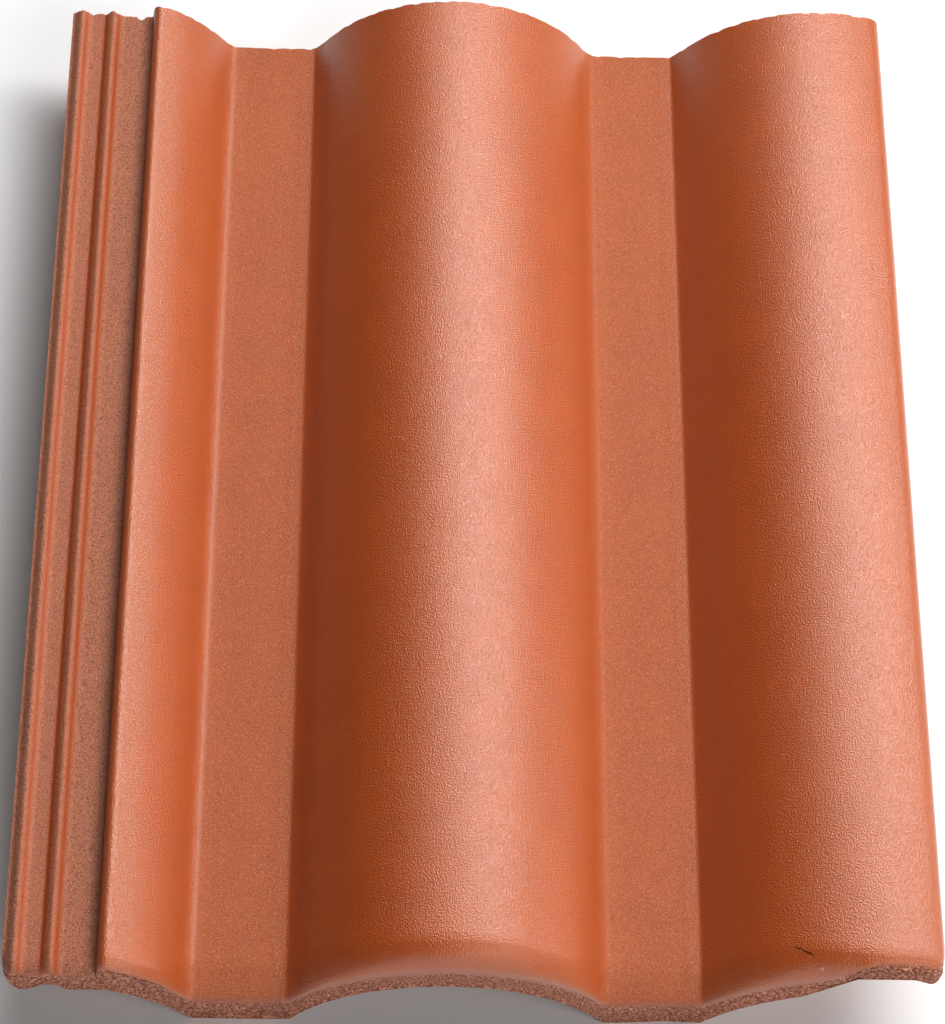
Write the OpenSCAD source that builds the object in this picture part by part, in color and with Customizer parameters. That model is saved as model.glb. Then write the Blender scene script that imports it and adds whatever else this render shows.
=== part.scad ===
// Double-roll interlocking roof tile, pressed from concrete in one piece.
// The tile lies as it would on a level floor: on the bars across its tail and on its two nibs.
// X runs from the underlock to the overlock, Y from the tail (eaves end) up to the head.
// The origin is the centre of the footprint, on the plane that the bars and nibs rest on.

/* [Tile] */
// Length from tail to head
length = 420; // [400:1:430]
// Width from the outer edge of the underlock to the edge of the overlock
width = 332; // [330:0.5:336]
// Width that one tile covers on the roof, which is two rolls
cover = 300; // [298:0.5:302]
// Thickness of the pans and of the walls of the rolls
wall = 11.5; // [10.5:0.25:13]
// Height of the pans' upper surface above the plane that the tile rests on
pan_h = 22; // [21:0.5:24]

/* [Rolls] */
// Distance from the underlock's edge to the crest of the middle roll
roll_x = 157.2; // [156.5:0.1:158.5]
// Height of the middle roll's crest above the pans
roll_h = 34.7; // [33:0.1:36]
// Radius of the middle roll's upper surface
roll_r = 63.5; // [62:0.1:66]
// Distance from the underlock's edge to where the half roll beside it would have its crest
half_roll_x = 7.6; // [7:0.1:8.5]
// Height that the half roll would have at its crest
half_roll_h = 33.8; // [33:0.1:35]
// Radius of the half roll
half_roll_r = 64.8; // [64:0.1:67]
// Distance from the underlock's edge to the crest of the roll that ends in the overlock
lock_roll_x = 308; // [307:0.1:309]
// Height of the roll that ends in the overlock
lock_roll_h = 33.3; // [33:0.1:35]
// Radius of the roll that ends in the overlock
lock_roll_r = 68.2; // [66:0.1:70]
// Fillet where a roll rises on the right of a pan
rise_fillet = 10; // [6:0.5:12]
// Fillet where a roll comes down on the left of a pan
fall_fillet = 8; // [4:0.5:10]

/* [Underlock] */
// Width of the underlock, up to the step that rises to the half roll
under_w = 33.4; // [33:0.1:34.2]
// Height of the outer channel's floor above the pans
outer_channel_h = 20.5; // [20:0.1:21]
// Height of the inner channel's floor above the pans
inner_channel_h = 19.2; // [18.5:0.1:19.8]
// Distance from the underlock's edge to the middle of the outer rib
outer_rib_x = 4.3; // [4.2:0.1:5]
// Distance from the underlock's edge to the middle of the inner rib
inner_rib_x = 16.8; // [16:0.1:17.5]
// Height of the outer rib above the pans
outer_rib_h = 23; // [22.5:0.1:23.2]
// Height of the inner rib above the pans
inner_rib_h = 22.7; // [22:0.1:23]
// Radius of the rounded edge at the top of the step
step_edge_r = 3; // [1.6:0.1:4]
// Height of the underlock's flat underside above the pans
under_base_h = 5.5; // [5:0.5:8]
// Height above the pans at which the underlock's outer edge begins to slant inwards
under_edge_h = 13.5; // [12:0.5:16]

/* [Overlock] */
// Height of the overlock's underside above the pans
over_base_h = 24.5; // [24:0.1:25]
// Height of the lower edge of the overlock's outer lip above the pans
over_lip_h = 20.7; // [20.3:0.1:21]
// Height of the lower edge of the overlock's inner rib above the pans
over_rib_h = 22.2; // [21.8:0.1:22.6]

/* [Tail] */
// Length over which the upper surface curves down to the tail
nose_l = 12; // [10:0.5:15]
// Drop of the upper surface over that length, where the curve has become upright
nose_h = 9; // [7:0.5:10]
// Drop that the curve would have if it kept the slope it starts with
nose_start_h = 5; // [3:0.5:6]
// Length of each bar across the underside at the tail, along the slope
bar_l = 8; // [6:0.5:10]
// Distance from one bar to the next
bar_pitch = 30; // [24:1:40]

/* [Nibs] */
// Hanging length, from the tail to the faces of the nibs that hook on the batten
hang_l = 398; // [385:1:400]
// Distance from the underlock's edge to the middle of the first nib
nib_x = 83; // [81:0.5:85]
// Width of a nib where it leaves the pan
nib_w = 40; // [30:1:42]
// Length of a nib along the slope
nib_l = 14; // [12:0.5:16]

/* [Hidden] */
$fn = 128;

BARS = 3;            // bars across the tail's underside
NOSE_STEPS = 4;      // flats that make up the curve of the tail
NIB_DRAFT = 4;       // how much a nib narrows on each side towards its foot
RIB_R = 4.5;         // radius of the underlock's ribs
UNDER_EDGE_W = 5;    // width of the slant along the underlock's outer edge
GROOVE_X = 8.5;      // distance from the underlock's edge to the groove in its underside
GROOVE_W = 14;       // width of the groove
GROOVE_TOP_W = 5;    // width of the groove's flat top
GROOVE_H = 4.5;      // height of the groove
OVER_GAP = 1;        // gap between the overlock and the step of the next tile
OVER_RAMP = 18;      // width of the slant that takes the bars up to the overlock
OVER_RIB_W = 5;      // width of the overlock's inner rib at its root
OVER_RIB_FOOT = 2.4; // width of the overlock's inner rib at its foot
OVER_RIB_START = 20; // distance from the tail to the end of the overlock's inner rib
LIP_RAMP = 6;        // width of the slant that takes the overlock's underside down to its outer lip
LAP = 0.05;          // how far fillets reach into what they join
FILL_DEPTH = 1;      // how far the fill of a corner reaches into the pan and the roll
SEAM = 2;            // how far neighbouring parts of a section reach into one another
CUT = 5;             // how far cuts reach past the tile

roll_pitch = cover / 2;

// Each roll is [centre across the tile, height of its axis above the pans, outer radius]
HALF_ROLL = [half_roll_x, half_roll_h - half_roll_r, half_roll_r];
MID_ROLL = [roll_x, roll_h - roll_r, roll_r];
LOCK_ROLL = [lock_roll_x, lock_roll_h - lock_roll_r, lock_roll_r];

// The rounded edge at the top of the step touches the half roll from inside
step_edge_x = under_w + step_edge_r;
step_reach = half_roll_r - step_edge_r;
step_edge_z = HALF_ROLL[1] + LAP + sqrt(pow(step_reach, 2) - pow(step_edge_x - half_roll_x, 2));
half_roll_start = half_roll_x + (step_edge_x - half_roll_x) * half_roll_r / step_reach;

// The underlock's flat underside ends below the step, where the hollow of the half roll begins
under_base_x = under_w - 4;
groove_slant = (GROOVE_W - GROOVE_TOP_W) / 2;

// The overlock's rib hangs in the outer channel of the next tile, and its lip in the inner one
over_x = cover + OVER_GAP;
over_rib_x = cover + (outer_rib_x + inner_rib_x) / 2;
over_lip_x = cover + inner_rib_x + RIB_R;

// Rectangle from its lower left to its upper right corner
module block(x0, z0, x1, z1) {
    translate([x0, z0]) square([x1 - x0, z1 - z0]);
}

// Section of a roll, dropped by drop and thinned by thin
module roll(r, drop = 0, thin = 0) {
    translate([r[0], r[1] - drop]) circle(r = r[2] - thin);
}

// Fill of the hollow corner between a pan and a roll: side is -1 left of the roll and 1 right of it
module foot_fill(r, side, fillet) {
    dz = fillet - LAP - r[1];
    reach = r[2] + fillet - LAP;
    dx = sqrt(reach * reach - dz * dz);
    centre = [r[0] + side * dx, fillet - LAP];
    inner = (r[2] - FILL_DEPTH) / reach;
    touch = [r[0] + side * dx * inner, r[1] + dz * inner];
    difference() {
        polygon([centre, touch, [touch[0], -FILL_DEPTH], [centre[0], -FILL_DEPTH]]);
        translate(centre) circle(r = fillet);
    }
}

// Section of the underlock down to the plane that the tile rests on: two ribs and two channels
module underlock_section() {
    block(0, -pan_h, inner_rib_x, outer_channel_h);
    block(inner_rib_x - SEAM, -pan_h, under_w + SEAM, inner_channel_h);
    translate([outer_rib_x, outer_rib_h - RIB_R]) circle(r = RIB_R);
    translate([inner_rib_x, inner_rib_h - RIB_R]) circle(r = RIB_R);
}

// Section under the whole upper surface
module full_section() {
    intersection() {
        union() {
            underlock_section();
            block(under_w, -pan_h, half_roll_start + SEAM, step_edge_z);
            translate([step_edge_x, step_edge_z]) circle(r = step_edge_r);
            intersection() {
                roll(HALF_ROLL);
                block(half_roll_start, -pan_h, roll_x, half_roll_h);
            }
            foot_fill(HALF_ROLL, 1, fall_fillet);
            block(half_roll_start, -pan_h, width, 0);
            foot_fill(MID_ROLL, -1, rise_fillet);
            roll(MID_ROLL);
            foot_fill(MID_ROLL, 1, fall_fillet);
            foot_fill(LOCK_ROLL, -1, rise_fillet);
            roll(LOCK_ROLL);
        }
        block(0, -pan_h, width, roll_h + CUT);
    }
}

// Space under the underlock, with its slanted outer edge and the shallow groove along it
module underlock_space() {
    polygon([[-CUT, -pan_h - CUT], [under_base_x, -pan_h - CUT], [under_base_x, under_base_h],
             [GROOVE_X + GROOVE_W, under_base_h],
             [GROOVE_X + GROOVE_W - groove_slant, under_base_h + GROOVE_H],
             [GROOVE_X + groove_slant, under_base_h + GROOVE_H],
             [GROOVE_X, under_base_h], [UNDER_EDGE_W, under_base_h],
             [0, under_edge_h], [-CUT, under_edge_h]]);
}

// Space under the overlock, round its outer lip
module overlock_space() {
    difference() {
        block(over_x, -pan_h - CUT, width + CUT, over_base_h);
        polygon([[over_lip_x, over_base_h], [over_lip_x + LIP_RAMP, over_lip_h],
                 [width + 2 * CUT, over_lip_h], [width + 2 * CUT, over_base_h + SEAM],
                 [over_lip_x, over_base_h + SEAM]]);
    }
}

// Space under the tile between its bars: the hollow of each roll and the floor of each pan
module hollow_section() {
    block(half_roll_start, -pan_h - CUT, over_x + SEAM, -wall);
    intersection() {
        roll(HALF_ROLL, 0, wall);
        block(0, -2 * half_roll_r, roll_x, under_base_h);
    }
    roll(MID_ROLL, 0, wall);
    intersection() {
        roll(LOCK_ROLL, 0, wall);
        block(roll_x, -2 * lock_roll_r, over_x + SEAM, lock_roll_h);
    }
    underlock_space();
    overlock_space();
}

// Space under a bar, which follows the upper surface at the depth of the pans
module bar_space() {
    intersection() {
        roll(HALF_ROLL, pan_h);
        block(0, -pan_h - CUT, roll_x, under_base_h);
    }
    roll(MID_ROLL, pan_h);
    intersection() {
        roll(LOCK_ROLL, pan_h);
        block(roll_x, -pan_h - CUT, over_x + SEAM, lock_roll_h);
    }
    polygon([[over_x + SEAM, over_base_h], [over_x, over_base_h],
             [over_x - OVER_RAMP, over_base_h - OVER_RAMP], [over_x - OVER_RAMP, -pan_h - CUT],
             [over_x + SEAM, -pan_h - CUT]]);
    underlock_space();
    overlock_space();
}

// Extrudes a section along the tile, from y0 to y1 above the tail
module along(y0, y1) {
    translate([0, y1, 0]) rotate([90, 0, 0]) linear_extrude(height = y1 - y0) children();
}

// The tail's curve at t from 0, its start, to 1, the tail: distance from the tail and drop
function nose_y(t) = nose_l * pow(1 - t, 2);
function nose_drop(t) = 2 * t * (1 - t) * nose_start_h + t * t * nose_h;

// Air over the tail, bounded by flats that follow the curve
module nose_air() {
    for (k = [0 : NOSE_STEPS - 1]) {
        t0 = k / NOSE_STEPS;
        t1 = (k + 1) / NOSE_STEPS;
        step_l = nose_y(t0) - nose_y(t1);
        slope = (nose_drop(t1) - nose_drop(t0)) / step_l;
        translate([0, nose_y(t0), -nose_drop(t0)])
            multmatrix([[1, 0, 0, 0], [0, 1, 0, 0], [0, slope, 1, 0]])
                along(-step_l, 0)
                    difference() {
                        block(under_w, -pan_h / 2, width + CUT, roll_h + 2 * CUT);
                        full_section();
                    }
    }
}

// The overlock's inner rib, which hangs into the next tile's outer channel and stops short of the tail
module overlock_rib() {
    along(OVER_RIB_START, length)
        translate([over_rib_x, 0])
            polygon([[-OVER_RIB_W / 2, over_base_h + SEAM], [-OVER_RIB_FOOT / 2, over_rib_h],
                     [OVER_RIB_FOOT / 2, over_rib_h], [OVER_RIB_W / 2, over_base_h + SEAM]]);
}

// One nib under a pan, with its batten face towards the tail
module nib(x) {
    along(hang_l, hang_l + nib_l)
        polygon([[x - nib_w / 2 + NIB_DRAFT, -pan_h], [x + nib_w / 2 - NIB_DRAFT, -pan_h],
                 [x + nib_w / 2, SEAM - wall], [x - nib_w / 2, SEAM - wall]]);
}

module tile() {
    color([0.73, 0.41, 0.27])
        translate([-width / 2, -length / 2, pan_h]) {
            difference() {
                along(0, length) full_section();
                along(-CUT, length + CUT) intersection() {
                    hollow_section();
                    bar_space();
                }
                for (k = [0 : BARS - 1])
                    along(k * bar_pitch + bar_l, k < BARS - 1 ? (k + 1) * bar_pitch : length + CUT)
                        hollow_section();
                nose_air();
            }
            overlock_rib();
            nib(nib_x);
            nib(nib_x + roll_pitch);
        }
}

tile();
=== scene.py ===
import math

import bpy
import numpy as np
from mathutils import Matrix, Vector


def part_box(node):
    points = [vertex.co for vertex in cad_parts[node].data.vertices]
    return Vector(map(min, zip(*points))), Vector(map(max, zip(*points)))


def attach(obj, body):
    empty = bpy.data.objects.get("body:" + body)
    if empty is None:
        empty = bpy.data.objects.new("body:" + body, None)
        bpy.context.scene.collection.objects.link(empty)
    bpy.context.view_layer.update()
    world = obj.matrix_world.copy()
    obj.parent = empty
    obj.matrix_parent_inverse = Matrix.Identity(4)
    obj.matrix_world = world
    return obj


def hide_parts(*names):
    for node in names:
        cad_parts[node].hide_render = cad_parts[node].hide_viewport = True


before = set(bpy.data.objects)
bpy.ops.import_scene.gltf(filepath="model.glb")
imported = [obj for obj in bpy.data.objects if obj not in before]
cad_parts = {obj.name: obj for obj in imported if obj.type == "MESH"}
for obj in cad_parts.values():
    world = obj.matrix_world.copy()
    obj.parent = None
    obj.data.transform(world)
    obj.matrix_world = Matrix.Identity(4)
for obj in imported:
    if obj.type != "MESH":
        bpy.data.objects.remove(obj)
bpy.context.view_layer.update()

scene = bpy.context.scene

# ---------------------------------------------------------------- camera
# The tile is looked down on from beyond its tail, a little left of its middle, with a long
# lens. The camera is turned and tipped slightly, as one on a boom over a table is.
CAMERA_PLACE = Vector((-0.0419, -0.6253, 1.1289))
CAMERA_DOWN = math.radians(60.88)
CAMERA_TURN = math.radians(-3.87)
CAMERA_TIP = math.radians(4.53)
LENS_MM = 115.2

camera = bpy.data.objects.new("camera", bpy.data.cameras.new("camera"))
camera.data.lens = LENS_MM
camera.data.sensor_width = 36
camera.matrix_world = (
    Matrix.Translation(CAMERA_PLACE)
    @ Matrix.Rotation(CAMERA_TURN, 4, "Z")
    @ Matrix.Rotation(math.pi / 2 - CAMERA_DOWN, 4, "X")
    @ Matrix.Rotation(CAMERA_TIP, 4, "Z")
)
scene.collection.objects.link(camera)
scene.camera = camera

# ---------------------------------------------------------------- the tile's section
# The real tile is fine-grained concrete, pressed on a steel pallet that shapes its underside
# while a roller and a slipper shape its top, so one section runs the whole length. Here the
# section is worked out in millimetres, across from the underlock's edge and up from the pans.
MM = 0.001
tile_low, tile_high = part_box("tile")
WIDTH, LENGTH, HEIGHT = (tile_high - tile_low) / MM

ROLL_H = 34.7
PAN_H = HEIGHT - ROLL_H
WALL = 11.5
MID_ROLL = dict(centre=157.2, crest=ROLL_H, radius=63.5)
HALF_ROLL = dict(centre=7.6, crest=33.8, radius=64.8)
LOCK_ROLL = dict(centre=308.0, crest=33.3, radius=68.2)
RISE_L, RISE_H = 9.0, 0.8     # a pan lifts a little before the crease where a roll rises from it
RISE_SLOPE = 1.12             # a ramp from the crease runs up on to the roll
FALL_L, FALL_H = 10.0, 1.0    # on its other side a roll comes down to a crease just above the pan
FALL_BLEND = 4.0

UNDER_W = 33.4
STEP_EDGE_R = 3.0
UNDER_BASE_X = UNDER_W - 4.0      # the flat underside ends here and the half roll's hollow begins
UNDER_BASE_H = 5.5
UNDER_EDGE_W, UNDER_EDGE_H = 5.0, 13.5
GROOVE_X, GROOVE_W, GROOVE_TOP_W, GROOVE_H = 8.5, 14.0, 5.0, 4.5
OUTER_CHANNEL_H = 20.5
INNER_CHANNEL_H = 19.2
OUTER_RIB = dict(centre=4.0, crest=23.0, left=1.15, right=0.95)
INNER_RIB = dict(centre=16.9, crest=22.7, left=0.85, right=1.15)
RIB_TOP_R = 1.0
OVER_X, OVER_BASE_H = 301.0, 24.5
OVER_RAMP = 18.0              # a slant this wide takes the bars up to the overlock
OVER_LIP_X, OVER_LIP_H, LIP_RAMP = 321.3, 20.7, 6.0
OVER_RIB_X, OVER_RIB_H = 310.55, 22.2
OVER_RIB_W, OVER_RIB_FOOT = 3.8, 2.4
LIP_EDGE_R = 4.0
PAN_MIDDLES = 83.0, 233.0


def arc(x, centre, crest, radius, drop=0.0, thin=0.0):
    """Height of an arc, dropped and thinned, or of its axis beyond the arc's reach."""
    return crest - drop - radius + np.sqrt(np.maximum((radius - thin) ** 2 - (x - centre) ** 2, 0))


def ridge(x, centre, crest, left, right):
    """Height of a rib with a rounded top and a straight slope on either side."""
    reach = np.sqrt((x - centre) ** 2 + RIB_TOP_R**2) - RIB_TOP_R
    return crest - np.where(x < centre, left, right) * reach


def rise(x, roll):
    """A roll's left flank, with the pan's lift, the crease and the ramp at its foot."""
    foot = roll["centre"] - math.sqrt(roll["radius"] ** 2 - (roll["radius"] - roll["crest"]) ** 2) - 0.8
    lift = RISE_H * np.clip((x - foot + RISE_L) / RISE_L, 0, 1.2) ** 2
    ramp = RISE_H + RISE_SLOPE * np.clip(x - foot, -9, 5)
    return soft_max(soft_max(lift, ramp, 0.5), arc(x, **roll), 0.6)


def fall(x, roll):
    """A roll's right flank, with the crease at its foot and the pan's lift next to it."""
    foot = roll["centre"] + math.sqrt(roll["radius"] ** 2 - (roll["radius"] - roll["crest"]) ** 2)
    lift = FALL_H * np.clip((foot + FALL_L - x) / FALL_L, 0, 1.2) ** 2
    return soft_max(lift, arc(x, **roll), FALL_BLEND)


def soft_max(a, b, blend):
    """The higher of two outlines, with the corner between them filled."""
    near = np.maximum(blend - np.abs(a - b), 0) / np.maximum(blend, 1e-6)
    return np.maximum(a, b) + near * near * blend / 4


def crown(x):
    """The upper surface."""
    floor = np.where(x < 15, OUTER_CHANNEL_H, INNER_CHANNEL_H)
    ribs = np.maximum(ridge(x, **OUTER_RIB), ridge(x, **INNER_RIB))
    underlock = soft_max(floor, ribs, 0.5)
    step_x = UNDER_W + STEP_EDGE_R
    reach = HALF_ROLL["radius"] - STEP_EDGE_R
    axis_z = HALF_ROLL["crest"] - HALF_ROLL["radius"]
    step_z = axis_z + math.sqrt(reach**2 - (step_x - HALF_ROLL["centre"]) ** 2)
    half_start = HALF_ROLL["centre"] + (step_x - HALF_ROLL["centre"]) * HALF_ROLL["radius"] / reach
    step = step_z + np.sqrt(np.maximum(STEP_EDGE_R**2 - (x - step_x) ** 2, 0))
    half = fall(x, HALF_ROLL)
    mid = np.where(x < MID_ROLL["centre"], rise(x, MID_ROLL), fall(x, MID_ROLL))
    lock = rise(x, LOCK_ROLL)
    lip = LIP_EDGE_R - np.sqrt(np.maximum(LIP_EDGE_R**2 - np.maximum(x - WIDTH + LIP_EDGE_R, 0) ** 2, 0))
    body = np.maximum(np.maximum(np.where(x < half_start, step, half), mid), lock) - 0.6 * lip
    return np.where(x < UNDER_W, underlock, body)


def underside(x, bar=False):
    """The underside between the bars, or the lower edge of a bar, which stands at the pans' depth."""
    drop, thin = (PAN_H, 0.0) if bar else (0.0, WALL)
    floor = -PAN_H if bar else -WALL
    half = np.minimum(arc(x, drop=drop, thin=thin, **HALF_ROLL), UNDER_BASE_H)
    mid = arc(x, drop=drop, thin=thin, **MID_ROLL)
    lock = arc(x, drop=drop, thin=thin, **LOCK_ROLL)
    if bar:
        lock = np.maximum(lock, np.where(x > OVER_X - OVER_RAMP, OVER_BASE_H - (OVER_X - x), floor))
    z = soft_max(floor, np.where(x < PAN_MIDDLES[0], half, mid), 2.0)
    z = np.where(x > PAN_MIDDLES[1], soft_max(floor, lock, 2.0), z)
    slant = (GROOVE_W - GROOVE_TOP_W) / 2
    groove_end = GROOVE_X + GROOVE_W
    under = np.interp(x, [0, UNDER_EDGE_W, GROOVE_X, GROOVE_X + slant, groove_end - slant, groove_end],
                      UNDER_BASE_H + np.array([UNDER_EDGE_H - UNDER_BASE_H, 0, 0, GROOVE_H, GROOVE_H, 0]))
    over = np.interp(x, [OVER_LIP_X, OVER_LIP_X + LIP_RAMP], [OVER_BASE_H, OVER_LIP_H])
    z = np.where(x < UNDER_BASE_X, under, z)
    return np.where(x > OVER_X, over, z)


# ---------------------------------------------------------------- the tile's outline as points
# Points stand close together where the section turns sharply and further apart on the rolls
# and the floors of the pans. Each one keeps what the sweep along the tile needs to know.
NOSE_L = 11.6         # length of the tail's curve in the pans
NOSE_H = 7.0          # its drop, where it has become upright
NOSE_START_H = 4.0    # the drop it would have at the slope it starts with
# The same three over the underlock, and how they change on a crest and towards the overlock
UNDERLOCK_NOSE = 4.5, 5.5, 1.5
CREST_CHANGE = -2.6, 4.5, -1.6
OVERLOCK_CHANGE = -3.4, -6.5, -0.8
TAIL_SKEW = 0.0035    # the tail is cut this much out of square
DENT_X, DENT_W, DENT_DEPTH = 236.0, 12.0, 0.7        # a shallow dent in the tail's cut
WORN_W, WORN_DEPTH = 3.5, 3.0                        # the underlock's tail corner is worn round
BROKEN_X, BROKEN_W, BROKEN_DEPTH = 327.5, 4.5, 4.5   # the overlock's is broken off aslant
# Zones across the tile: (start, end, softness of their edges, how strong)
PAN_ZONES = (66, 99, 2.0, 1.0), (214, 248, 2.0, 1.0)
GRIT_ZONES = (-3, 4.9, 0.5, 1.0), (6.6, 13.0, 0.5, 0.7), (14.6, 18.0, 0.5, 0.7), (19.8, UNDER_W, 0.6, 1.0)
# Along the pans' edges pale specks are painted in as the glint of the creases: painted highlight
PAINTED_GLINT_ZONES = (63.4, 65.4, 1.0, 0.7), (211.2, 213.2, 1.0, 0.4), (95, 98.6, 1.0, 0.5), (244, 247.6, 1.0, 0.5)
BLOOM_ZONES = ((29.5, UNDER_W, 2.0, 1.0),)
# Beside the step, on the half roll, a pale speckled patch is painted in as the coat's sheen: painted
# highlight
PAINTED_SHEEN_ZONES = ((36, 46, 5.0, 1.0),)
NIB_W, NIB_DRAFT = 40.0, 4.0    # a nib narrows by its draft on each side towards its foot


def points_across():
    """Distances across the tile, in millimetres."""
    spans = [(0, UNDER_W, 0.62), (UNDER_W, 37, 0.3), (37, 61, 1.5), (61, 70, 0.8), (70, 92, 2.4),
             (92, 106, 0.8), (106, 208, 1.5), (208, 220, 0.8), (220, 242, 2.4), (242, 256, 0.8),
             (256, 300, 1.5), (300, WIDTH, 1.0)]
    parts = [np.linspace(a, b, max(int(round((b - a) / step)), 1), endpoint=False) for a, b, step in spans]
    return np.append(np.concatenate(parts), WIDTH)


def fade(x, start, end):
    """0 before start, 1 after end and smooth between them."""
    t = np.clip((x - start) / (end - start), 0, 1)
    return t * t * (3 - 2 * t)


def outline_points():
    """The closed outline, clockwise from the underlock's upper edge, as columns of point values.

    share is how far up a point stands from the underside to the top: by quarters at the two sides.
    """
    x = points_across()
    quarters = np.array([0.75, 0.5, 0.25])
    across = np.concatenate([x, np.full(3, WIDTH), x[::-1], np.zeros(3)])
    share = np.concatenate([x * 0 + 1, quarters, x * 0, quarters[::-1]])
    under = (share == 0).astype(float)
    side = ((share > 0) & (share < 1)).astype(float)
    hill = np.clip(crown(across) / ROLL_H, 0, 1)
    full_nose = fade(across, 54, 66)
    lock = fade(across, 285, 310)
    nose_l, nose_h, nose_s = (
        at_start + full_nose * (in_pan - at_start + on_crest * hill) + at_end * lock
        for in_pan, at_start, on_crest, at_end
        in zip((NOSE_L, NOSE_H, NOSE_START_H), UNDERLOCK_NOSE, CREST_CHANGE, OVERLOCK_CHANGE))
    coat_end = 0.6 + full_nose * 0.4 - 0.88 * lock
    nib_reach = np.minimum.reduce([np.abs(across - middle) for middle in PAN_MIDDLES])
    nib = np.interp(nib_reach, [NIB_W / 2 - NIB_DRAFT, NIB_W / 2], [1, 0])
    rib_reach = np.abs(across - OVER_RIB_X)
    rib = np.interp(rib_reach, [OVER_RIB_FOOT / 2, OVER_RIB_W / 2], [OVER_BASE_H - OVER_RIB_H, 0])
    setback = across * TAIL_SKEW + DENT_DEPTH * np.exp(-(((across - DENT_X) / DENT_W) ** 2))
    setback += WORN_DEPTH * np.clip(1 - across / WORN_W, 0, 1) ** 2
    setback += BROKEN_DEPTH * np.clip((across - BROKEN_X) / BROKEN_W, 0, 1) ** 2

    def bands(zones):
        return np.maximum.reduce([
            strength * (fade(across, start - soft, start + soft) - fade(across, end - soft, end + soft))
            for start, end, soft, strength in zones])

    grit = bands(GRIT_ZONES)
    return dict(across=across, top=crown(across), low=underside(across), bar_low=underside(across, bar=True),
                share=share, under=under, side=side, grit=grit, sandy=np.maximum(bands(PAN_ZONES), grit),
                painted_glint=bands(PAINTED_GLINT_ZONES), bloom=bands(BLOOM_ZONES), painted_sheen=bands(PAINTED_SHEEN_ZONES), coat_end=coat_end,
                ragged_and_shaded=1 - fade(across, 30, 36), setback=setback, nose_l=np.where(under > 0, NOSE_L, nose_l),
                nose_h=nose_h, nose_s=nose_s, nib=nib, rib=rib)


# ---------------------------------------------------------------- the tile's stations along its length
# The green tile is cut off by a knife at the tail, which leaves a short curve and an upright,
# torn face, and chopped square at the head. Bars cross the underside at the tail, two nibs under
# the head hook on the batten, and the overlock's rib stops short of the tail.
BAR_L, BAR_PITCH, BARS = 8.0, 30.0, 3
NIB_START, NIB_L = 398.0, 14.0
OVER_RIB_START = 20.0


def station_points():
    """Stations from the tail's lower edge to the head's lower edge, as columns of values."""
    tail_rows, head_rows = 12, 4    # multiples of four, so that the end faces meet the sides' quarters
    nose = NOSE_L * (1 - np.linspace(1, 0, 15)) ** 2
    body = np.linspace(NOSE_L, LENGTH, 116)
    edges = [k * BAR_PITCH + end for k in range(BARS) for end in (-0.4, 0.4, BAR_L - 0.4, BAR_L + 0.4)]
    edges += [NIB_START, NIB_START + 0.3, NIB_START + NIB_L - 0.3, NIB_START + NIB_L, LENGTH - 1.2]
    edges += [OVER_RIB_START, OVER_RIB_START + 0.3]
    y = np.unique(np.round(np.concatenate([nose, body, [e for e in edges if e > 0]]), 3))
    y = y[np.append(True, np.diff(y) > 0.12)]
    bar = np.zeros(len(y))
    for k in range(BARS):
        bar[(y > k * BAR_PITCH - 0.1) & (y < k * BAR_PITCH + BAR_L)] = 1
    nib = ((y > NIB_START + 0.1) & (y < NIB_START + NIB_L - 0.1)).astype(float)
    rib = (y > OVER_RIB_START + 0.1).astype(float)
    t = 1 - np.sqrt(np.clip(y / NOSE_L, 0, 1))
    along = np.clip((y - NOSE_L) / (LENGTH - NOSE_L), 0, 1)
    reach = np.clip(y / NOSE_L, 0, 1)
    tail_face = np.linspace(1, 0, tail_rows, endpoint=False)
    head_face = np.linspace(0, 1, head_rows + 1)[1:]
    n, m = len(tail_face), len(head_face)

    def rows(before, here, after):
        return np.concatenate([np.full(n, before, float), here, np.full(m, after, float)])

    return dict(
        along=rows(0, along, 1), reach=rows(0, reach, 0), slant=rows(0, 2 * t * (1 - t), 0),
        fall=rows(1, t * t, 0), bar=rows(1, bar, 0),
        nib_on=rows(0, nib, 0), rib_on=rows(0, rib, 1),
        tail_face=np.concatenate([tail_face, np.zeros(len(y) + m)]),
        head_face=np.concatenate([np.zeros(n + len(y)), head_face]),
    )


def point_line(name, columns, closed):
    """A wire of points, joined in turn, that carries its columns as point values."""
    count = len(next(iter(columns.values())))
    mesh = bpy.data.meshes.new(name)
    edges = [(i, i + 1) for i in range(count - 1)]
    if closed:
        edges.append((count - 1, 0))
    mesh.from_pydata([(0, i * MM, 0) for i in range(count)], edges, [])
    for column, values in columns.items():
        stored = mesh.attributes.new(column, "FLOAT", "POINT")
        stored.data.foreach_set("value", np.asarray(values, np.float32))
    thing = bpy.data.objects.new(name, mesh)
    scene.collection.objects.link(thing)
    return thing


# ---------------------------------------------------------------- sweeping the tile
# Geometry Nodes carry the outline along the stations, close the two ends, and roughen the cut
# faces as torn concrete is, with the coated face left smooth but for its slow waviness.
CHIPS_FROM = 0.992                  # the head's chips begin at this share of the length
CHIP_DEPTH, RAGGED_DEPTH = 0.8, 1.0   # in mm, and how much deeper they are over the underlock
NIBBLE_DEPTH = 0.5                  # the tail's cut wanders by this, in mm
COAT_WANDER = 0.30                  # so does the coat's end, as a share of the tail's drop
COAT_FADE = 0.06
TEAR_PER_M, WAVES_PER_M = 420.0, 38.0   # lumps of 2.4 mm on the torn faces, waves of 26 mm elsewhere
SHARP_ANGLE = math.radians(38)


def node(tree, kind, *inputs, named=None, out=0, **settings):
    """Adds a node with its settings and inputs, in turn or by name, and gives one of its outputs."""
    made = tree.nodes.new(kind)
    for key, value in settings.items():
        setattr(made, key, value)
    for key, value in [*enumerate(inputs), *(named or {}).items()]:
        if isinstance(value, bpy.types.NodeSocket):
            tree.links.new(value, made.inputs[key])
        elif value is not None:
            made.inputs[key].default_value = value
    return made.outputs[out] if made.outputs else None


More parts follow.
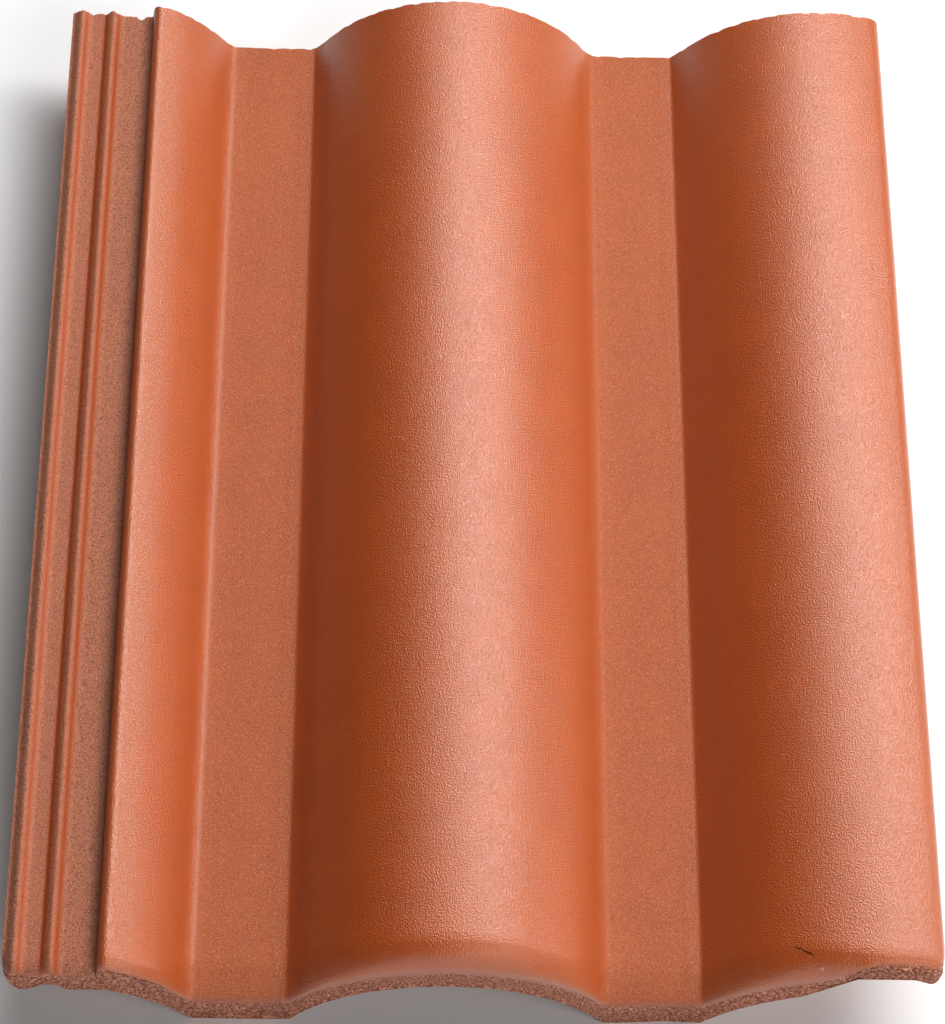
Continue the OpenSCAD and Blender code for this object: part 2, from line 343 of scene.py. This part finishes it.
def sweep_tree():
    """The nodes that turn the outline and the stations into the tile."""
    tree = bpy.data.node_groups.new("press_tile", "GeometryNodeTree")
    face = tree.interface
    face.new_socket("Geometry", in_out="INPUT", socket_type="NodeSocketGeometry")
    for name, kind, default in (
        ("Stations", "NodeSocketObject", None),
        ("Length", "NodeSocketFloat", LENGTH * MM),
        ("Low corner", "NodeSocketVector", None),
        ("High corner", "NodeSocketVector", None),
        ("Nib depth", "NodeSocketFloat", 0.0),
        ("Tear", "NodeSocketFloat", 0.0016),
        ("Waviness", "NodeSocketFloat", 0.0002),
        ("Seed", "NodeSocketFloat", 3.0),
        ("Material", "NodeSocketMaterial", None),
    ):
        socket = face.new_socket(name, in_out="INPUT", socket_type=kind)
        if default is not None:
            socket.default_value = default
    face.new_socket("Geometry", in_out="OUTPUT", socket_type="NodeSocketGeometry")
    given = node(tree, "NodeGroupInput").node.outputs
    kept = ("across", "top", "low", "bar_low", "share", "under", "side", "coat_end", "ragged_and_shaded", "setback",
            "nose_l", "nose_h", "nose_s", "nib", "rib", "along", "reach", "slant", "fall", "bar", "nib_on",
            "rib_on", "tail_face", "head_face")
    at = {name: node(tree, "GeometryNodeInputNamedAttribute", name, data_type="FLOAT", out="Attribute")
          for name in kept}

    stations = node(tree, "GeometryNodeObjectInfo", given["Stations"], out="Geometry")
    path = node(tree, "GeometryNodeMeshToCurve", stations)
    profile = node(tree, "GeometryNodeMeshToCurve", given["Geometry"])
    swept = node(tree, "GeometryNodeCurveToMesh", path, profile)

    # Height: the top follows the tail's curve, the underside the bars and the nibs, and each point stands
    # at its share between them, which falls to nothing down the end faces, so that all seams meet
    slant = node(tree, "ShaderNodeMath", at["nose_s"], at["slant"], operation="MULTIPLY")
    drop = node(tree, "ShaderNodeMath", at["nose_h"], at["fall"], slant, operation="MULTIPLY_ADD")
    top = node(tree, "ShaderNodeMath", at["top"], drop, operation="SUBTRACT")
    low = node(tree, "ShaderNodeMix", at["bar"], None, at["low"], at["bar_low"])
    nib = node(tree, "ShaderNodeMath", at["nib"], at["nib_on"], operation="MULTIPLY")
    nib = node(tree, "ShaderNodeMath", nib, given["Nib depth"], operation="MULTIPLY")
    low = node(tree, "ShaderNodeMath", low, nib, operation="SUBTRACT")
    rib = node(tree, "ShaderNodeMath", at["rib"], at["rib_on"], operation="MULTIPLY")
    low = node(tree, "ShaderNodeMath", low, rib, operation="SUBTRACT")
    ends = node(tree, "ShaderNodeMath", at["tail_face"], at["head_face"], operation="MAXIMUM")
    share = node(tree, "ShaderNodeMath", 1.0, ends, operation="SUBTRACT")
    share = node(tree, "ShaderNodeMath", at["share"], share, operation="MINIMUM")
    z = node(tree, "ShaderNodeMix", share, None, low, top)

    # Ripples that run across the tile, each of its own size: the head's chips, the tail's cut, the coat's end
    ripple = {}
    for name, size_mm, shift in (("chips", 5.0, 5.0), ("cut", 9.0, 0.0), ("coat", 3.0, 11.0)):
        start = node(tree, "ShaderNodeMath", given["Seed"], shift, operation="ADD")
        run = node(tree, "ShaderNodeMath", at["across"], 1 / (size_mm * MM), start, operation="MULTIPLY_ADD")
        ripple[name] = node(tree, "ShaderNodeTexNoise", noise_dimensions="1D",
                            named={"W": run, "Scale": 1.0, "Detail": 3.0})

    # Length: from the tail's edge, set back and nibbled, to the head's, which is chipped
    near_head = node(tree, "ShaderNodeMapRange", at["along"], CHIPS_FROM, interpolation_type="SMOOTHSTEP")
    chipped = node(tree, "ShaderNodeMapRange", ripple["chips"], 0.45, 0.75)
    depth = node(tree, "ShaderNodeMath", at["ragged_and_shaded"], RAGGED_DEPTH, CHIP_DEPTH, operation="MULTIPLY_ADD")
    bite = node(tree, "ShaderNodeMath", chipped, depth, operation="MULTIPLY")
    bite = node(tree, "ShaderNodeMath", bite, near_head, operation="MULTIPLY")
    bite = node(tree, "ShaderNodeMath", bite, MM, operation="MULTIPLY")
    head_y = node(tree, "ShaderNodeMath", given["Length"], bite, operation="SUBTRACT")
    nibble = node(tree, "ShaderNodeMath", ripple["cut"], NIBBLE_DEPTH * MM, operation="MULTIPLY")
    nibble = node(tree, "ShaderNodeMath", nibble, share, operation="MULTIPLY")
    back = node(tree, "ShaderNodeMath", at["setback"], nibble, operation="ADD")
    front = node(tree, "ShaderNodeMath", at["nose_l"], at["reach"], back, operation="MULTIPLY_ADD")
    y = node(tree, "ShaderNodeMix", at["along"], None, front, head_y)
    corner = node(tree, "ShaderNodeSeparateXYZ", given["Low corner"]).node.outputs
    x = node(tree, "ShaderNodeMath", at["across"], corner[0], operation="ADD")
    y = node(tree, "ShaderNodeMath", y, corner[1], operation="ADD")
    spot = node(tree, "ShaderNodeCombineXYZ", x, y, z)
    placed = node(tree, "GeometryNodeSetPosition", swept, named={"Position": spot})
    closed = node(tree, "GeometryNodeMergeByDistance", placed, named={"Distance": 0.00002})

    # How torn a point is: wholly on the cut faces, partly at the sides, not at all where the coat lies
    cut = node(tree, "ShaderNodeMath", ends, 30.0, operation="MULTIPLY")
    cut = node(tree, "ShaderNodeMath", cut, 1.0, operation="MINIMUM")
    end = node(tree, "ShaderNodeMath", at["coat_end"], COAT_WANDER / 2, operation="SUBTRACT")
    end = node(tree, "ShaderNodeMath", ripple["coat"], COAT_WANDER, end, operation="MULTIPLY_ADD")
    past = node(tree, "ShaderNodeMath", at["fall"], end, operation="SUBTRACT")
    past = node(tree, "ShaderNodeMapRange", past, -COAT_FADE, COAT_FADE)
    torn = node(tree, "ShaderNodeMath", cut, past, operation="MAXIMUM")
    flank = node(tree, "ShaderNodeMath", at["side"], 0.5, operation="MULTIPLY")
    torn = node(tree, "ShaderNodeMath", torn, flank, operation="MAXIMUM")
    above = node(tree, "ShaderNodeMath", 1.0, at["under"], operation="SUBTRACT")
    torn = node(tree, "ShaderNodeMath", torn, above, operation="MULTIPLY")
    bare = node(tree, "ShaderNodeMath", torn, at["under"], operation="MAXIMUM")
    zoned = node(tree, "GeometryNodeStoreNamedAttribute", closed, data_type="FLOAT", domain="POINT",
                 named={"Name": "bare", "Value": bare})

    # The torn faces are pushed in by grains, the rest by a slow waviness, and nothing leaves the tile's box
    position = node(tree, "GeometryNodeInputPosition")
    push = {}
    lumps = ("tear", TEAR_PER_M, 3.0, given["Tear"]), ("wave", WAVES_PER_M, 1.0, given["Waviness"])
    for name, scale, detail, depth in lumps:
        lump = node(tree, "ShaderNodeTexNoise", noise_dimensions="4D",
                    named={"Vector": position, "W": given["Seed"], "Scale": scale, "Detail": detail})
        lump = node(tree, "ShaderNodeMath", lump, 0.75, operation="SUBTRACT")
        push[name] = node(tree, "ShaderNodeMath", lump, depth, operation="MULTIPLY")
    reach = node(tree, "ShaderNodeMath", push["tear"], torn, push["wave"], operation="MULTIPLY_ADD")
    offset = node(tree, "ShaderNodeVectorMath", node(tree, "GeometryNodeInputNormal"), operation="SCALE",
                  named={"Scale": reach})
    rough = node(tree, "GeometryNodeSetPosition", zoned, named={"Offset": offset})
    held = node(tree, "ShaderNodeVectorMath", position, given["High corner"], operation="MINIMUM")
    held = node(tree, "ShaderNodeVectorMath", held, given["Low corner"], operation="MAXIMUM")
    inside = node(tree, "GeometryNodeSetPosition", rough, named={"Position": held})

    smooth = node(tree, "GeometryNodeSetShadeSmooth", inside)
    sharp = node(tree, "FunctionNodeCompare", node(tree, "GeometryNodeInputMeshEdgeAngle"), SHARP_ANGLE,
                 operation="GREATER_THAN")
    marked = node(tree, "GeometryNodeStoreNamedAttribute", smooth, data_type="BOOLEAN", domain="EDGE",
                  named={"Name": "sharp_edge", "Value": sharp})
    real = node(tree, "GeometryNodeRealizeInstances", marked)
    coated = node(tree, "GeometryNodeSetMaterial", real, named={"Material": given["Material"]})
    node(tree, "NodeGroupOutput", coated)
    return tree


def metres(columns, lengths):
    """The same columns, with those that are lengths turned from millimetres."""
    return {name: values * MM if name in lengths else values for name, values in columns.items()}


def press_tile(material):
    """Runs the sweep on the outline and keeps the result as a plain mesh."""
    lengths = ("across", "top", "low", "bar_low", "nose_l", "nose_h", "nose_s", "setback", "rib")
    columns = metres(outline_points(), lengths)
    for name in ("top", "low", "bar_low"):
        columns[name] = columns[name] + PAN_H * MM
    outline = point_line("outline", columns, closed=True)
    stations = point_line("stations", station_points(), closed=False)
    tree = sweep_tree()
    press = outline.modifiers.new("press", "NODES")
    press.node_group = tree
    sizes = {"Stations": stations, "Length": LENGTH * MM, "Low corner": tile_low, "High corner": tile_high,
             "Nib depth": (PAN_H - WALL) * MM, "Material": material}
    for item in tree.interface.items_tree:
        if item.in_out == "INPUT" and item.name in sizes:
            press[item.identifier] = sizes[item.name]
    view = bpy.context.evaluated_depsgraph_get()
    mesh = bpy.data.meshes.new_from_object(outline.evaluated_get(view), depsgraph=view)
    mesh.name = "roof_tile"
    tile = bpy.data.objects.new("roof_tile", mesh)
    scene.collection.objects.link(tile)
    for tool in (outline, stations):
        bpy.data.objects.remove(tool)
    return tile


# ---------------------------------------------------------------- the coat and the bare concrete
# Terracotta acrylic coat, sprayed on through-coloured pressed concrete while it was green. It lies
# semi-gloss and dimpled on the rolls, thin and sandy on the pans and in the underlock, and the cut
# faces and the underside are bare: matt, pitted and darker, with pale sand grains in them. Some light
# and shade is painted into the colour too: painted shade over the underlock, a painted sheen beside
# the step and painted glints along the pans' edges.
def linear(code):
    """A colour given as an sRGB hex code, turned linear."""
    parts = [int(code[i:i + 2], 16) / 255 for i in (1, 3, 5)]
    return tuple(p / 12.92 if p <= 0.04045 else ((p + 0.055) / 1.055) ** 2.4 for p in parts) + (1.0,)


# Washes lie evenly over a zone: (zone, cover, colour). The dark wash over the underlock is painted
# shade, which darkens its rib stripes, and the pale wash beside the step is a painted sheen.
WASHES = (("ragged_and_shaded", 0.35, "#9A4218"), ("sandy", 0.10, "#D8B49C"), ("grit", 0.48, "#D69A7E"),
          ("painted_sheen", 0.14, "#D0A08C"))
# Specks are grains in a zone, but for the pale specks along the pans' edges and beside the step, which are
# painted glints and painted sheen. The sand is 0.1 to 0.3 mm, too fine to show, so it is drawn at 0.4 mm or
# more: (zone, grain in mm, noise where they begin and are full, cover, colour)
SPECKS = (
    ("sandy", 0.42, 0.50, 0.64, 0.60, "#84401C"),
    ("sandy", 0.42, 0.57, 0.65, 0.35, "#E6B494"),
    ("grit", 0.55, 0.53, 0.63, 0.54, "#66240E"),
    ("grit", 0.42, 0.56, 0.64, 0.45, "#E0AE94"),
    ("bloom", 0.60, 0.53, 0.61, 0.50, "#C9A894"),
    ("painted_glint", 0.80, 0.50, 0.64, 0.60, "#D8A088"),
    ("painted_sheen", 0.40, 0.54, 0.62, 0.42, "#E8CCBE"),
)
# A crack across the last roll's foot and a chip below it, in mm from the underlock's edge and the tail
CRACK_PLACE, CRACK_HALF_L, CRACK_SLOPE, CRACK_JAG = (282.1, 10.2), 3.4, -0.62, 2.2
JAGS_PER_M = 900.0    # jags of 1.1 mm
CHIP_PLACE, CHIP_R = (288.2, 4.0), 0.7

coat = bpy.data.materials.new("terracotta_coated_concrete")
coat.use_nodes = True
paint = coat.node_tree
shader = paint.nodes["Principled BSDF"]
place = node(paint, "ShaderNodeTexCoord", out="Object")
zone = {name: node(paint, "ShaderNodeAttribute", attribute_name=name, out="Fac")
        for name in ("bare", "grit", "sandy", "bloom", "painted_glint", "painted_sheen", "fall", "ragged_and_shaded")}

# The coat itself varies slowly, by clouds of about 18 mm
cloud = node(paint, "ShaderNodeTexNoise", named={"Vector": place, "Scale": 1 / (18.0 * MM), "Detail": 2.0})
cloud = node(paint, "ShaderNodeMapRange", cloud, 0.35, 0.65, 0.0, 0.4)
colour = node(paint, "ShaderNodeMix", data_type="RGBA", out=2,
              named={0: cloud, 6: linear("#C2652D"), 7: linear("#B75F2D")})
for name, cover, code in WASHES:
    share = node(paint, "ShaderNodeMath", zone[name], cover, operation="MULTIPLY")
    colour = node(paint, "ShaderNodeMix", data_type="RGBA", out=2,
                  named={0: share, 6: colour, 7: linear(code)})
for seed, (name, grain_mm, begin, full, cover, code) in enumerate(SPECKS):
    grains = node(paint, "ShaderNodeTexNoise", noise_dimensions="4D",
                  named={"Vector": place, "W": 3.7 * seed, "Scale": 1 / (grain_mm * MM), "Detail": 2.0})
    share = node(paint, "ShaderNodeMapRange", grains, begin, full, 0.0, cover)
    share = node(paint, "ShaderNodeMath", share, zone[name], operation="MULTIPLY")
    colour = node(paint, "ShaderNodeMix", data_type="RGBA", out=2,
                  named={0: share, 6: colour, 7: linear(code)})

# Where the tail curves down the coat is thin and dusty
dusty = node(paint, "ShaderNodeMapRange", zone["fall"], 0.35, 0.7, 0.0, 0.75, interpolation_type="SMOOTHSTEP")
colour = node(paint, "ShaderNodeMix", data_type="RGBA", out=2,
              named={0: dusty, 6: colour, 7: linear("#B57660")})

# Bare concrete: crumbs of 0.8 mm, dark between and pale on top
crumbs = node(paint, "ShaderNodeTexNoise", named={"Vector": place, "Scale": 1 / (0.8 * MM), "Detail": 3.0})
crumbs = node(paint, "ShaderNodeMapRange", crumbs, 0.40, 0.60)
concrete = node(paint, "ShaderNodeMix", data_type="RGBA", out=2,
                named={0: crumbs, 6: linear("#94503A"), 7: linear("#DFA388")})
colour = node(paint, "ShaderNodeMix", data_type="RGBA", out=2,
              named={0: zone["bare"], 6: colour, 7: concrete})

# The crack is a jagged dark line, open where its noise is high, and the chip a pale spot
x, y, _ = node(paint, "ShaderNodeSeparateXYZ", place).node.outputs
middle = [low + far * MM for low, far in zip(tile_low, CRACK_PLACE)]
jag = node(paint, "ShaderNodeTexNoise", noise_dimensions="1D",
           named={"W": x, "Scale": JAGS_PER_M, "Detail": 2.0})
jag = node(paint, "ShaderNodeMath", jag, CRACK_JAG * MM, -0.5 * CRACK_JAG * MM, operation="MULTIPLY_ADD")
start_y = middle[1] - middle[0] * CRACK_SLOPE
line = node(paint, "ShaderNodeMath", x, CRACK_SLOPE, start_y, operation="MULTIPLY_ADD")
line = node(paint, "ShaderNodeMath", line, jag, operation="ADD")
off = node(paint, "ShaderNodeMath", y, line, operation="SUBTRACT")
off = node(paint, "ShaderNodeMath", off, operation="ABSOLUTE")
crack = node(paint, "ShaderNodeMapRange", off, 0.15 * MM, 0.40 * MM, 1.0, 0.0)
off = node(paint, "ShaderNodeMath", x, middle[0], operation="SUBTRACT")
off = node(paint, "ShaderNodeMath", off, operation="ABSOLUTE")
span = node(paint, "ShaderNodeMapRange", off, (CRACK_HALF_L - 0.6) * MM, CRACK_HALF_L * MM, 1.0, 0.0)
crack = node(paint, "ShaderNodeMath", crack, span, operation="MULTIPLY")
colour = node(paint, "ShaderNodeMix", data_type="RGBA", out=2,
              named={0: crack, 6: colour, 7: linear("#3A1608")})
spot = [low + far * MM for low, far in zip(tile_low, CHIP_PLACE)]
flat = node(paint, "ShaderNodeCombineXYZ", x, y)
off = node(paint, "ShaderNodeVectorMath", flat, (*spot, 0.0), operation="DISTANCE", out="Value")
chip = node(paint, "ShaderNodeMapRange", off, 0.3 * CHIP_R * MM, CHIP_R * MM, 0.9, 0.0)
colour = node(paint, "ShaderNodeMix", data_type="RGBA", out=2,
              named={0: chip, 6: colour, 7: linear("#D9B29C")})
paint.links.new(colour, shader.inputs["Base Color"])

rough = node(paint, "ShaderNodeMapRange", zone["sandy"], 0.0, 1.0, 0.31, 0.72)
rough = node(paint, "ShaderNodeMix", zone["bare"], None, rough, 0.9)
paint.links.new(rough, shader.inputs["Roughness"])
shader.inputs["Specular IOR Level"].default_value = 0.88
# Acrylic binder rises to the surface of the spray as it dries, clear and glossy, but soaks into the
# sand, and on the underlock it is worn away; it is also thinned where the sheen beside the step is painted
soaked = node(paint, "ShaderNodeMath", zone["sandy"], zone["bare"], operation="MAXIMUM")
soaked = node(paint, "ShaderNodeMath", soaked, zone["ragged_and_shaded"], operation="MAXIMUM")
soaked = node(paint, "ShaderNodeMath", zone["painted_sheen"], 0.6, soaked, operation="MULTIPLY_ADD", use_clamp=True)
binder = node(paint, "ShaderNodeMapRange", soaked, 0.0, 1.0, 0.75, 0.0)
paint.links.new(binder, shader.inputs["Coat Weight"])
shader.inputs["Coat Roughness"].default_value = 0.3

# The sprayed coat dries over the sand as dimples of about 0.6 mm, with finer grains among them
dimples = node(paint, "ShaderNodeTexVoronoi", feature="F1", named={"Vector": place, "Scale": 1 / (0.6 * MM)})
fine = node(paint, "ShaderNodeTexNoise", named={"Vector": place, "Scale": 1 / (0.4 * MM), "Detail": 1.0})
peel = node(paint, "ShaderNodeMath", fine, 1.2, dimples, operation="MULTIPLY_ADD")
# over which the clear binder has nearly levelled
film = node(paint, "ShaderNodeBump", named={"Height": peel, "Strength": 0.8, "Distance": 0.08 * MM})
paint.links.new(film, shader.inputs["Coat Normal"])
peel = node(paint, "ShaderNodeBump", named={"Height": peel, "Strength": 0.8, "Distance": 0.2 * MM})
sand = node(paint, "ShaderNodeMath", zone["grit"], 0.35, operation="MULTIPLY")
sand = node(paint, "ShaderNodeMath", zone["bare"], sand, operation="MAXIMUM")
sand = node(paint, "ShaderNodeBump",
            named={"Height": crumbs, "Strength": sand, "Distance": 0.3 * MM, "Normal": peel})
paint.links.new(sand, shader.inputs["Normal"])

tile = press_tile(coat)
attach(tile, "root")
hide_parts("tile")

# ---------------------------------------------------------------- floor and light
# A sheet of white paper and four soft boxes: a broad one behind the tile that draws a sheen along
# the crests, one to its right, and two in front, the lower of which lights the tail's torn face.
# The world is only seen, as a pale wall, and gives no light, so the rolls' left flanks stay dark.
FLOOR_SIZE = 4.4
floor_mesh = bpy.data.meshes.new("floor")
half = FLOOR_SIZE / 2
corners = [(-half, -half, 0), (half, -half, 0), (half, half, 0), (-half, half, 0)]
floor_mesh.from_pydata(corners, [], [(0, 1, 2, 3)])
floor = bpy.data.objects.new("floor", floor_mesh)
scene.collection.objects.link(floor)
paper = bpy.data.materials.new("white_paper")
paper.use_nodes = True
paper.node_tree.nodes["Principled BSDF"].inputs["Base Color"].default_value = linear("#FAFAFA")
paper.node_tree.nodes["Principled BSDF"].inputs["Roughness"].default_value = 0.9
floor_mesh.materials.append(paper)


def soft_box(name, place, width, depth, power):
    """An oblong area light that looks at the tile."""
    light = bpy.data.lights.new(name, "AREA")
    light.shape = "RECTANGLE"
    light.size, light.size_y = width, depth
    light.energy = power
    thing = bpy.data.objects.new(name, light)
    thing.location = place
    thing.rotation_euler = Vector(place).to_track_quat("Z", "Y").to_euler()
    scene.collection.objects.link(thing)


soft_box("back_box", (0.60, 0.90, 1.60), 2.05, 0.8, 44)
soft_box("right_box", (2.20, 0.20, 0.75), 0.7, 0.7, 11.5)
soft_box("front_box", (1.10, -1.45, 1.60), 1.4, 1.0, 18)
soft_box("low_front_box", (0.0, -2.0, 0.50), 2.2, 0.9, 11)
world = bpy.data.worlds.new("studio")
scene.world = world
world.use_nodes = True
world.node_tree.nodes["Background"].inputs["Color"].default_value = linear("#FFFFFF")
world.node_tree.nodes["Background"].inputs["Strength"].default_value = 0.9
for ray in ("diffuse", "glossy", "transmission", "scatter"):
    setattr(world.cycles_visibility, ray, False)
scene.view_settings.view_transform = "Standard"
scene.view_settings.gamma = 0.8
